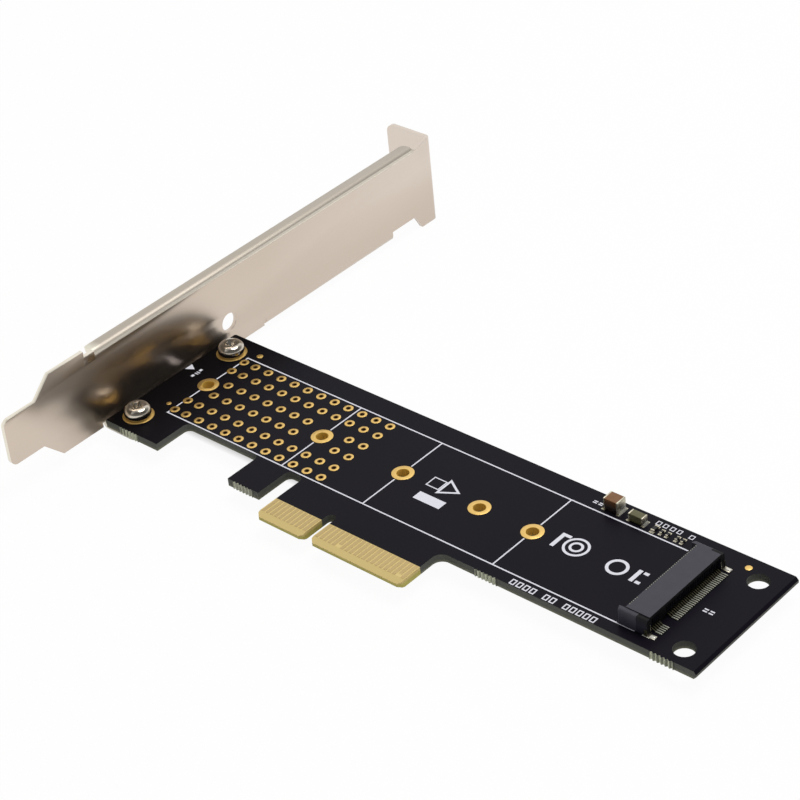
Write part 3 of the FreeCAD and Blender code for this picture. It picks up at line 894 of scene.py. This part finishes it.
def combCutter(spots, width, x0, x1, z0, z1):
    tooth = block("tooth", (x0, spots[0] - width / 2, z0), (x1, spots[0] + width / 2, z1))
    teeth = copied(tooth, [(0, y - spots[0], 0) for y in spots[1:]])
    return joined("teeth", [tooth] + teeth)


def endWall(side):
    s = socketShape
    front = s["armFrontX"]
    outer = side * s["half"]
    inner = s["half"] - s["endWall"] + s["endOverlap"]
    y0, y1 = sorted((outer, side * inner))
    wall = block("endWall", (front, y0, 0), (s["rearX"], y1, s["endHeight"]))

    def corner(a, b):
        return abs(a.z - b.z) > 1 and abs(a.x - front) < near and abs(a.y - outer) < near

    pickEdges(wall, corner)
    bevelPicked(s["endCorner"], 5)
    top = s["endHeight"] - near
    rim = s["half"] - 0.6
    pickEdges(wall, lambda a, b: min(a.z, b.z) > top and min(abs(a.y), abs(b.y)) > rim)
    bevelPicked(s["endBevel"], 5)
    rim = inner + near
    pickEdges(wall, lambda a, b: min(a.z, b.z) > top and max(abs(a.y), abs(b.y)) < rim)
    bevelPicked(s["endInnerBevel"], 2)
    return wall


def springTips(spots):
    s = socketShape
    t = tipShape
    low = (s["lipX"], -t["half"], s["height"] - t["low"])
    tip = block("tip", low, (s["lipX"] + t["reach"], t["half"], s["height"] - t["high"]))
    tips = spread(rounded(tip, t["edge"], 1), [(0, y, 0) for y in spots])
    present(joined("springTips", tips), "bead", "tinned_metal")


def moduleSocket():
    s = socketShape
    jaw = s["jawX"]
    lip = s["lipX"]
    back = s["rearX"]
    top = s["height"]
    half = s["half"] - s["endWall"]
    shell = block("socketHousing", (jaw, -half, 0), (back, half, top))
    cutOut(shell, block("lip", (jaw - 1, -half - 1, s["slotLow"]), (lip, half + 1, top + 1)))
    slotHalf = half - s["slotEnd"]
    low = (jaw - 1, -slotHalf, s["slotLow"])
    cutOut(shell, block("slot", low, (s["floorX"], slotHalf, s["slotHigh"])))
    wall = back - s["bayDepth"]
    cutOut(shell, block("bay", (wall, -s["bayHalf"], -0.1), (back + 1, s["bayHalf"], s["bayHigh"])))
    rear = pinSpots(*s["rearPins"])
    front = pinSpots(*s["frontPins"])
    between = [y + s["pitch"] / 2 for y in rear]
    springTips(between)
    narrow = s["lipCombWidth"]
    end = s["floorX"] - s["combBack"]
    combs = (
        (rear, s["combWidth"], wall - s["combDepth"], wall + 0.1, 0.12, s["bayHigh"] - 0.1),
        (rear, narrow, lip - 0.1, end, s["slotHigh"] - 0.05, top - 0.42),
        (front, narrow, jaw - 0.1, end, s["combLow"], s["slotLow"] + 0.05),
        (between, s["notchWidth"], lip - 0.1, lip + s["notchDepth"], top - 0.3, top + 0.1),
    )
    for comb in combs:
        cutOut(shell, combCutter(*comb))
    rounded(shell, s["edge"], 1, 60)
    parts = [shell, endWall(-1), endWall(1)]
    low = (jaw + 0.05, s["keyY"] - s["keyHalf"], s["slotLow"] - 0.02)
    key = block("key", low, (s["floorX"], s["keyY"] + s["keyHalf"], s["slotHigh"] + 0.02))
    parts.append(rounded(key, s["keyEdge"], 2))
    for y, radius in s["pegs"]:
        peg = rod("peg", s["pegX"], y, s["pegLow"], 0.05, radius, 32)
        parts.append(rounded(peg, s["pegEdge"], 2))
    shell = joined("socketShell", parts)
    present(shell, "plastic", "socket_plastic", "socket_housing", angle=30)
    print("socket shell moulded")
    return rear, front


# Contacts of the socket

pinShape = {
    "width": 0.2,
    "thickness": 0.15,
    "exitZ": 0.45,
    "rearReach": 1.8,
    "rearFoot": 1.1,
    "frontReach": 1.4,
    "riser": 0.75,
    "riserHigh": 2.5,
    "edge": 0.03,
    "tailStart": 0.3,
    "tailSteps": ((0.2, 0), (0.12, -0.06), (0.42, -0.26), (0.18, -0.1), (0.08, -0.02)),
    "bladeGap": 0.02,
    "bladeBack": 0.5,
    "upperBladeFront": 0.25,
    "lowerBladeFront": 0.3,
}


def bentStrip(name, start, sections, width, thickness):
    # a short strip along +x, lengthened section by section
    x, z = start
    low = (x - pinShape["tailStart"], -width / 2, z)
    strip = block(name, low, (x, width / 2, z + thickness))
    for dx, dz in sections:
        pickFaces(strip, lambda middle, normal: middle.x > x - 0.012 and normal.x > 0.3)
        move = {"value": (dx * mm, 0, dz * mm)}
        bpy.ops.mesh.extrude_region_move(TRANSFORM_OT_translate=move)
        leave()
        x += dx
    return strip


def plate(name, x0, x1, z0, z1):  # as wide as a contact
    wide = pinShape["width"] / 2
    return rounded(block(name, (x0, -wide, z0), (x1, wide, z1)), pinShape["edge"], 1)


def setContacts(rear, front):
    p = pinShape
    s = socketShape
    thick = p["thickness"]
    bladeEnd = s["floorX"] - p["bladeBack"]
    wall = s["rearX"] - s["bayDepth"]
    run = s["rearX"] + p["rearReach"] - p["rearFoot"] - wall
    steps = [(run * share, drop) for share, drop in p["tailSteps"]] + [(p["rearFoot"], 0)]
    tail = bentStrip("tail", (wall, p["exitZ"]), steps, p["width"], thick)
    x = wall - p["riser"]
    riser = plate("riser", x, x + thick, p["exitZ"], p["riserHigh"])
    low = s["slotHigh"] + p["bladeGap"]
    blade = plate("blade", s["lipX"] + p["upperBladeFront"], bladeEnd, low, low + thick)
    tails = spread(joined("tail", [tail, riser, blade]), [(0, y, 0) for y in rear])
    present(joined("rearContacts", tails), "shadedMetal", "gold_plating", "socket_contacts_rear")
    inner = s["jawX"] + p["lowerBladeFront"]
    toe = plate("toe", s["jawX"] - p["frontReach"], inner, 0, thick)
    high = s["slotLow"] - p["bladeGap"]
    blade = plate("blade", inner, bladeEnd, high - thick, high)
    toes = spread(joined("toe", [toe, blade]), [(0, y, 0) for y in front])
    present(joined("frontContacts", toes), "shadedMetal", "gold_plating", "socket_contacts_front")
    print("contacts set")


# Solder under the contacts

beadShape = {"start": 0.3, "width": 0.26, "height": 0.26, "edge": 0.09, "frontShift": 1.0}


def solderContacts(rear, front):
    p = pinShape
    b = beadShape
    end = socketShape["rearX"] + p["rearReach"]
    wide = b["width"] / 2
    low = (end - p["rearFoot"] - b["start"], -wide, 0)
    bead = rounded(block("bead", low, (end, wide, b["height"])), b["edge"], 3)
    beads = copied(bead, [(0, y, 0) for y in rear])
    start = socketShape["jawX"] - p["frontReach"]
    beads += spread(bead, [(start - end + b["frontShift"], y, 0) for y in front])
    present(joined("solderBeads", beads), "bead", "tinned_metal")


# Hold-downs: an upright beside each end of the socket, its foot, the edge of its strip inside
# the bay, a cap of solder on the foot and a thin skirt of solder round the upright

holdDownShape = {
    "thickness": 0.15,
    "height": 1.3,
    "length": 0.5,
    "uprightEdge": 0.03,
    "foot": 1.5,
    "footWidth": 1.0,
    "footEdge": 0.05,
    "stripX": (-0.02, 0.03),
    "stripY": (0.14, 0.2),
    "stripZ": (0.15, 1.8),
    "stripEdge": 0.012,
    "capStart": 0.35,
    "capLow": 0.04,
    "capHigh": 0.3,
    "capTaper": (0.7, 0.6, 1.0),
    "capEdge": 0.1,
    "skirtX": (-0.9, 0.6),
    "skirtOut": 0.08,
    "skirtHigh": 0.07,
    "skirtEdge": 0.03,
}


def setHoldDowns():
    h = holdDownShape
    half = socketShape["half"]
    back = socketShape["rearX"]
    end = back + h["foot"]
    sides = []
    parts = []
    caps = []
    for side in (-1, 1):
        outer = side * (half + h["thickness"])
        inner = outer - side * h["footWidth"]
        y0, y1 = sorted((side * half, outer))
        upright = block("upright", (back - h["length"], y0, 0), (back + 0.05, y1, h["height"]))
        sides.append(rounded(upright, h["uprightEdge"], 2))
        y0, y1 = sorted((outer, inner))
        foot = block("foot", (back, y0, 0), (end, y1, h["thickness"]))
        parts.append(rounded(foot, h["footEdge"], 2))
        x0, x1 = (back + x for x in h["stripX"])
        y0, y1 = sorted(side * (socketShape["bayHalf"] + y) for y in h["stripY"])
        z0, z1 = h["stripZ"]
        strip = block("edge", (x0, y0, z0), (x1, y1, z1))
        parts.append(rounded(strip, h["stripEdge"], 1))
        y0, y1 = sorted((outer - side * 0.02, inner + side * 0.1))
        cap = block("cap", (back + h["capStart"], y0, h["capLow"]), (end + 0.05, y1, h["capHigh"]))
        pickFaces(cap, lambda middle, normal: normal.z > 0.5)
        resizePicked(*h["capTaper"])
        caps.append(rounded(cap, h["capEdge"], 4, 20))
        x0, x1 = (back + x for x in h["skirtX"])
        y0, y1 = sorted((side * half, outer + side * h["skirtOut"]))
        skirt = block("skirt", (x0, y0, 0), (x1, y1, h["skirtHigh"]))
        caps.append(rounded(skirt, h["skirtEdge"], 2))
    present(joined("holdDowns", parts), "tin", "tinned_metal", "socket_hold_downs")
    # the uprights take the near-black finish of painted shade
    present(joined("holdDownSides", sides), "shadedMetal", "tinned_metal")
    present(joined("holdDownSolder", caps), "bright", "tinned_metal")


# Chip parts

chipShapes = {
    "bulk": {
        "centre": (87.75, 13.3), "size": (3.2, 2.5, 2.5), "end": 0.4, "alongX": True,
        "finish": "brown", "slot": "brown_ceramic",
        "nodes": ("bulk_capacitor_body", "bulk_capacitor_terminals"),
    },
    "bypass": {
        "centre": (93.2, 12.75), "size": (3.2, 1.6, 1.6), "end": 0.4, "alongX": True,
        "finish": "olive", "slot": "olive_ceramic",
        "nodes": ("bypass_capacitor_body", "bypass_capacitor_terminals"),
    },
    "wide": {
        "centre": (97.0, 12.5), "size": (0.8, 1.6, 0.45), "end": 0.3, "alongX": False,
        "finish": "black", "slot": "black_ceramic",
        "nodes": ("large_resistor_body", "large_resistor_terminals"),
    },
}
smallChips = {"x": (98.5, 99.8, 101.75, 102.95), "y": 12.5, "size": (0.5, 1.0, 0.35), "end": 0.2}


filletShape = {
    "low": 0.02,
    "overlap": 0.03,
    "levels": (0.2, 0.45, 0.7),
    "reach": (0.58, 0.28, 0.1, 0.02),
    "narrow": 0.82,
    "tallToe": 0.4,
    "flatToe": 0.08,
}


def solderFoot(side, start, toe, wide, high):
    # hollow slope from the board up the end of a chip
    f = filletShape
    low = f["low"]
    x0, x1 = sorted((start - side * f["overlap"], start + side * toe))
    foot = block("foot", (x0, -wide / 2, low), (x1, wide / 2, high))
    levels = [low + (high - low) * part for part in f["levels"]]
    cutLevels(foot, 2, levels)
    for level, out in zip(levels + [high], f["reach"]):

        def outerEdge(a, b):
            onLevel = abs(a.z - level) < 0.002 and abs(b.z - level) < 0.002
            return onLevel and abs(a.x - b.x) < 0.001 and (a.x - start) * side > 0

        pickEdges(foot, outerEdge)
        bpy.ops.transform.translate(value=(-side * toe * (1 - out) * mm, 0, 0))
        resizePicked(1.0, f["narrow"] + (1 - f["narrow"]) * out, 1.0)
    return foot


def chipParts(name, centre, size, end, alongX):
    # made along x and turned if it lies along y
    long, wide, high = size if alongX else (size[1], size[0], size[2])
    low = holeShape["copper"]
    x = long / 2 - end * 0.6
    y = wide / 2 - 0.03
    body = block(name, (-x, -y, low), (x, y, low + high - 0.03))
    rounded(body, min(0.1, high * 0.1), 3)
    toe = filletShape["tallToe"] if high > 1 else filletShape["flatToe"]
    ends = []
    feet = []
    for side in (-1, 1):
        x0, x1 = sorted((side * long / 2, side * (long / 2 - end)))
        cap = block("cap", (x0, -wide / 2, low), (x1, wide / 2, low + high))
        ends.append(rounded(cap, min(0.16, high * 0.16, end * 0.4), 4))
        feet.append(solderFoot(side, side * long / 2, toe, wide * 0.92, low + high * 0.5))
    made = [body, joined("ends", ends), joined("feet", feet)]
    for part in made:
        if not alongX:
            part.rotation_euler.z = math.pi / 2
        part.location = (centre[0] * mm, centre[1] * mm, 0)
        settle(part)
    return made


def placeChips():
    solder = []
    for name, c in chipShapes.items():
        body, ends, fillets = chipParts(name, c["centre"], c["size"], c["end"], c["alongX"])
        present(joined(name + "Body", [body]), c["finish"], c["slot"], c["nodes"][0])
        present(joined(name + "Ends", [ends]), "tin", "tinned_metal", c["nodes"][1])
        solder.append(fillets)
    bodies = []
    caps = []
    c = smallChips
    for x in c["x"]:
        body, ends, fillets = chipParts("small", (x, c["y"]), c["size"], c["end"], False)
        bodies.append(body)
        caps.append(ends)
        solder.append(fillets)
    present(joined("smallBodies", bodies), "black", "brown_ceramic", "small_resistor_bodies")
    present(joined("smallEnds", caps), "tin", "tinned_metal", "small_resistor_terminals")
    present(joined("chipSolder", solder), "solder", "tinned_metal")
    print("chips placed")


# Plain printed marks: outlined arrow over a bar, rings with bars, open boxes and short strokes

markShape = {
    "height": 0.02,
    "bars": (
        (56.2, -4.5, 62.3, -2.3), (84.6, -1.2, 85.4, 2.9), (85.4, 2.2, 86.6, 2.9),
        (101.4, -1.1, 102.2, 2.3), (102.6, -1.1, 103.6, -0.4), (102.6, 1.6, 103.6, 2.3),
        (83.4, 12.6, 84.25, 12.85), (83.4, 13.05, 84.25, 13.3),
        (84.6, 12.6, 85.45, 12.85), (84.6, 13.05, 85.45, 13.3),
        (116.2, -0.5, 117.05, -0.2), (116.2, 0.1, 117.05, 0.4),
        (117.4, -0.5, 118.25, -0.2), (117.4, 0.1, 118.25, 0.4),
        (-5.1, 0.2, -4.5, 0.9), (-5.1, 1.3, -4.2, 1.55),
        (-5.1, 1.8, -4.2, 2.05), (-5.1, 2.4, -4.5, 3.1),
    ),
    "barEdge": 0.006,
    "boxes": (
        (96.1, 13.8, 97.05, 14.9), (97.55, 13.8, 98.5, 14.9), (99.05, 13.8, 100.0, 14.9),
        (100.5, 13.8, 101.4, 14.9), (103.05, 13.8, 104.0, 14.9),
    ),
    "boxStroke": 0.17,
    "line": {
        "x": 85.4, "y": -13.35, "wide": 1.05, "high": 1.45, "pitch": 1.42,
        "places": (0, 1, 2, 3, 5, 6, 8, 9, 10, 11, 12),
    },
    "rings": ((88.9, 0.9, 2.5, 2.0), (88.9, 0.9, 1.35, 0.85), (97.9, 0.6, 2.1, 1.5)),
    "ringSides": 48,
    "openArrow": (60.0, 1.1, 4.0, 4.8, 0.68),
    "arrowTail": (55.6, -0.3, 58.6, 2.5),
    "smallArrow": (-7.2, 2.3, 1.7, 2.0, 0.0),
    "stroke": 0.24,
}


def flatMark(name, x0, y0, x1, y1):
    bar = block(name, (x0, y0, 0), (x1, y1, markShape["height"]))
    return rounded(bar, markShape["barEdge"], 1)


def openMark(x0, y0, x1, y1, edge):
    mark = block("box", (x0, y0, 0), (x1, y1, markShape["height"]))
    cutOut(mark, block("inside", (x0 + edge, y0 + edge, -1), (x1 - edge, y1 - edge, 1)))
    return mark


def arrowMark(x, y, long, wide, hollow):
    head = rod("arrow", 0, 0, 0, markShape["height"], 1.0, 3)
    if hollow:
        cutOut(head, rod("inside", 0, 0, -1, 1, hollow, 3))
    head.rotation_euler.z = -math.pi / 2
    settle(head)
    # by the height and the side of a triangle in a circle of radius 1
    head.scale = (long / 1.5, wide / 1.732, 1)
    head.location = (x * mm, y * mm, 0)
    settle(head)
    return head


def printMarks():
    m = markShape
    marks = [flatMark("bar", *bar) for bar in m["bars"]]
    marks += [openMark(*box, m["boxStroke"]) for box in m["boxes"]]
    line = m["line"]
    y0, y1 = line["y"], line["y"] + line["high"]
    for i in line["places"]:
        x = line["x"] + i * line["pitch"]
        marks.append(openMark(x, y0, x + line["wide"], y1, m["stroke"]))
    for x, y, outer, inner in m["rings"]:
        ring = rod("ring", x, y, 0, m["height"], outer, m["ringSides"])
        cutOut(ring, rod("inside", x, y, -1, 1, inner, m["ringSides"]))
        marks.append(ring)
    marks.append(arrowMark(*m["openArrow"]))
    marks.append(openMark(*m["arrowTail"], m["stroke"]))
    marks.append(arrowMark(*m["smallArrow"]))
    present(joined("printedMarks", marks), "print", "printed_white")
    print("marks printed")


# Studio: white all round, darker overhead, behind the camera and beyond the card's far right,
# so that metal has something to mirror

studio = {
    "level": 0.5,
    "frontLevel": 0.2,
    "front": (0.1, 1.0),
    "overhead": (0.86, 0.3),
    "overheadDim": 0.72,
    "behindCamera": (0.35, 0.5),
    "behindCameraZ": (0.12, 0.2),
    "behindCameraDim": 0.85,
    "beyondRight": (0.86, 0.22),
    "beyondRightDim": 0.82,
    "darkest": 0.1,
    "keyPlace": (0.13, 0.20, 0.74),
    "keyAim": (0.05, 0.0, 0.0),
    "keyPower": 3.5,
    "keySize": 0.4,
}

# Floor: bright to the camera, dark to the metal above it and in the bores
floorLook = {
    "z": -4.58,
    "size": 6,
    "paper": (0.92, 0.92, 0.92),
    "glow": 0.96,
    "underX": (-12.0, 128.0, 8.0),
    "underY": (-24.0, 17.0, 8.0),
    "underDim": 0.97,
    "boresX": (-6.0, 90.0, 4.0),
    "boresY": (-8.0, 8.0, 4.0),
}


def lamp(name, place, power, size):
    light = bpy.data.lights.new(name, "AREA")
    light.energy = power
    light.size = size
    holder = bpy.data.objects.new(name, light)
    holder.location = place
    aim = Vector(studio["keyAim"]) - Vector(place)
    holder.rotation_euler = aim.to_track_quat("-Z", "Y").to_euler()
    bpy.context.scene.collection.objects.link(holder)


def rays(finish):
    outputs = finish.node("ShaderNodeLightPath").socket.node.outputs
    names = ("Is Camera Ray", "Is Glossy Ray", "Is Transmission Ray")
    return [Flow(finish.tree, outputs[name]) for name in names]


def studioLights():
    world = bpy.data.worlds.new("studio")
    world.use_nodes = True
    bpy.context.scene.world = world
    sky = Finish("sky")
    bpy.data.materials.remove(sky.material)
    sky.tree = world.node_tree
    sky.tree.nodes.clear()
    x, y, z = sky.axes(sky.node("ShaderNodeTexCoord"))
    overhead = z.above(*studio["overhead"])
    behindCamera = (x * 0.7 - y * 0.7).above(*studio["behindCamera"])
    behindCamera = behindCamera * z.above(*studio["behindCameraZ"])
    beyondRight = (x * 0.58 + y * 0.58 + z * 0.57).above(*studio["beyondRight"])
    mirrored = 1 - overhead * studio["overheadDim"] - behindCamera * studio["behindCameraDim"]
    mirrored = mirrored - beyondRight * studio["beyondRightDim"]
    mirrored = mirrored.maths("MAXIMUM", mirrored, studio["darkest"])
    front = (0 - y).above(*studio["front"])
    lit = studio["level"] - front * (studio["level"] - studio["frontLevel"])
    camera, glossy, through = rays(sky)
    seen = camera + through
    level = seen + (1 - seen) * (glossy * mirrored + (1 - glossy) * lit)
    background = sky.node("ShaderNodeBackground", sockets={0: rgb(1, 1, 1), 1: level})
    sky.node("ShaderNodeOutputWorld", sockets={0: background})
    lamp("key", studio["keyPlace"], studio["keyPower"], studio["keySize"])


def layFloor():
    f = floorLook
    clearSelection()
    bpy.ops.mesh.primitive_plane_add(size=f["size"], location=(0, 0, f["z"] * mm))
    floor = bpy.context.active_object
    floor.name = "floor"
    paper = Finish("paper")
    diffuse = paper.node("ShaderNodeBsdfDiffuse", sockets={0: rgb(*f["paper"])})
    glow = paper.node("ShaderNodeEmission", sockets={0: rgb(1, 1, 1), 1: 1.0})
    camera, glossy, through = rays(paper)
    x, y = paper.axes(paper.place())[:2]
    under = x.between(*f["underX"]) * y.between(*f["underY"])
    bores = x.between(*f["boresX"]) * y.between(*f["boresY"])
    seen = (camera + through) * (f["glow"] - bores * f["glow"])
    seen = seen + glossy * (1 - under * f["underDim"])
    both = paper.node("ShaderNodeMixShader", sockets={0: seen, 1: diffuse, 2: glow})
    paper.node("ShaderNodeOutputMaterial", sockets={0: both})
    floor.data.materials.append(paper.material)


setCamera()
dressKeptNodes()
plateHoles()
fitScrews()
dressBracket()
setFiducials()
rearSpots, frontSpots = moduleSocket()
setContacts(rearSpots, frontSpots)
solderContacts(rearSpots, frontSpots)
setHoldDowns()
placeChips()
printMarks()
studioLights()
layFloor()

scene = bpy.context.scene
scene.view_settings.view_transform = "Standard"
print("scene ready")
